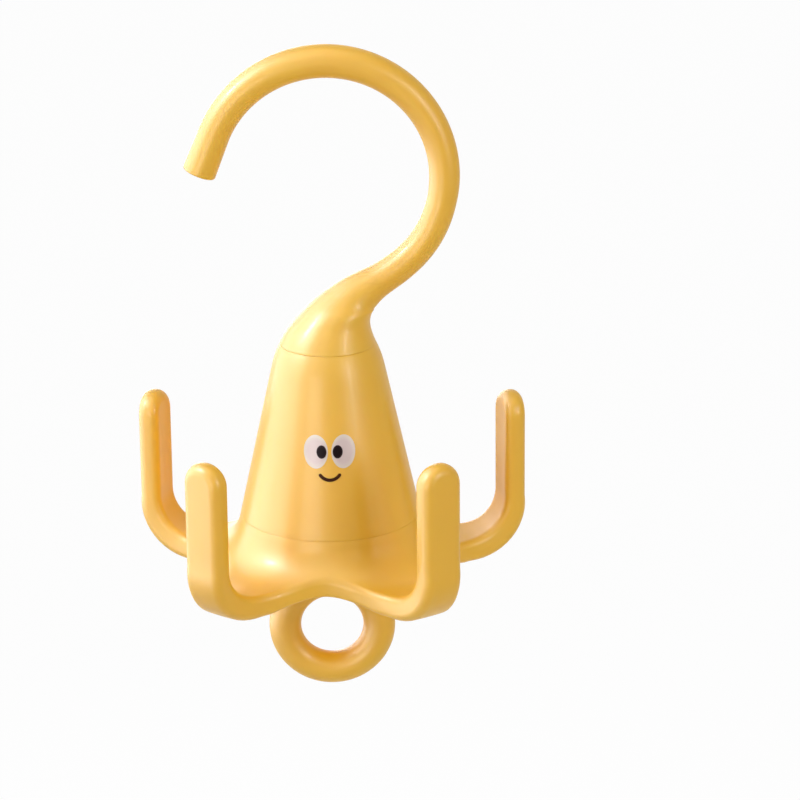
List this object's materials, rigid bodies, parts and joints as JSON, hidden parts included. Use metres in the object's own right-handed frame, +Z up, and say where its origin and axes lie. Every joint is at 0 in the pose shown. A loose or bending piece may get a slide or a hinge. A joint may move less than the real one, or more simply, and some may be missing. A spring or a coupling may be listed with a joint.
{
  "type": "rotating closet hook",
  "caption": "Glossy yellow plastic rotating closet hook: a rod hook that swivels on a hollow cone with a small smiling face, a skirt of curled-up arms and a ring below.",
  "frame": {"origin": "the rod seat, the middle of the inside of the hook's crown, where the rail carries the part", "axes": "+Z up along the swivel axis, the hook lies in the XZ plane with its tip towards -X, the face looks along -Y"},
  "size_m": [0.0915, 0.0887, 0.1564],
  "materials": {
    "shell": "soft gloss moulded yellow",
    "brass": "machined",
    "steel": "zinc plated",
    "nylon": "natural nylon",
    "eye_white": "printed, pinkish white",
    "pupil": "printed, near black",
    "smile": "printed, dark brown"
  },
  "bodies": {
    "hook": {"upper_hook": "shell", "threaded_insert": "brass", "swivel_screw": "steel", "thrust_washer": "nylon", "lower_washer": "steel"},
    "body": {"flange_bush": "nylon", "cone_shell": "shell", "arm_base": "shell", "base_screw_1": "steel", "base_screw_2": "steel", "base_screw_3": "steel", "bottom_ring": "shell", "ring_washer": "steel", "ring_screw": "steel", "eye_white_left": "eye_white", "eye_white_right": "eye_white", "pupil_left": "pupil", "pupil_right": "pupil", "smile": "smile"}
  },
  "joints": [
    {"name": "hook_swivel", "type": "hinge", "parent": "hook", "child": "body", "pos_m": [0, 0, -0.0633], "axis": [0, 0, 1], "continuous": true}
  ]
}
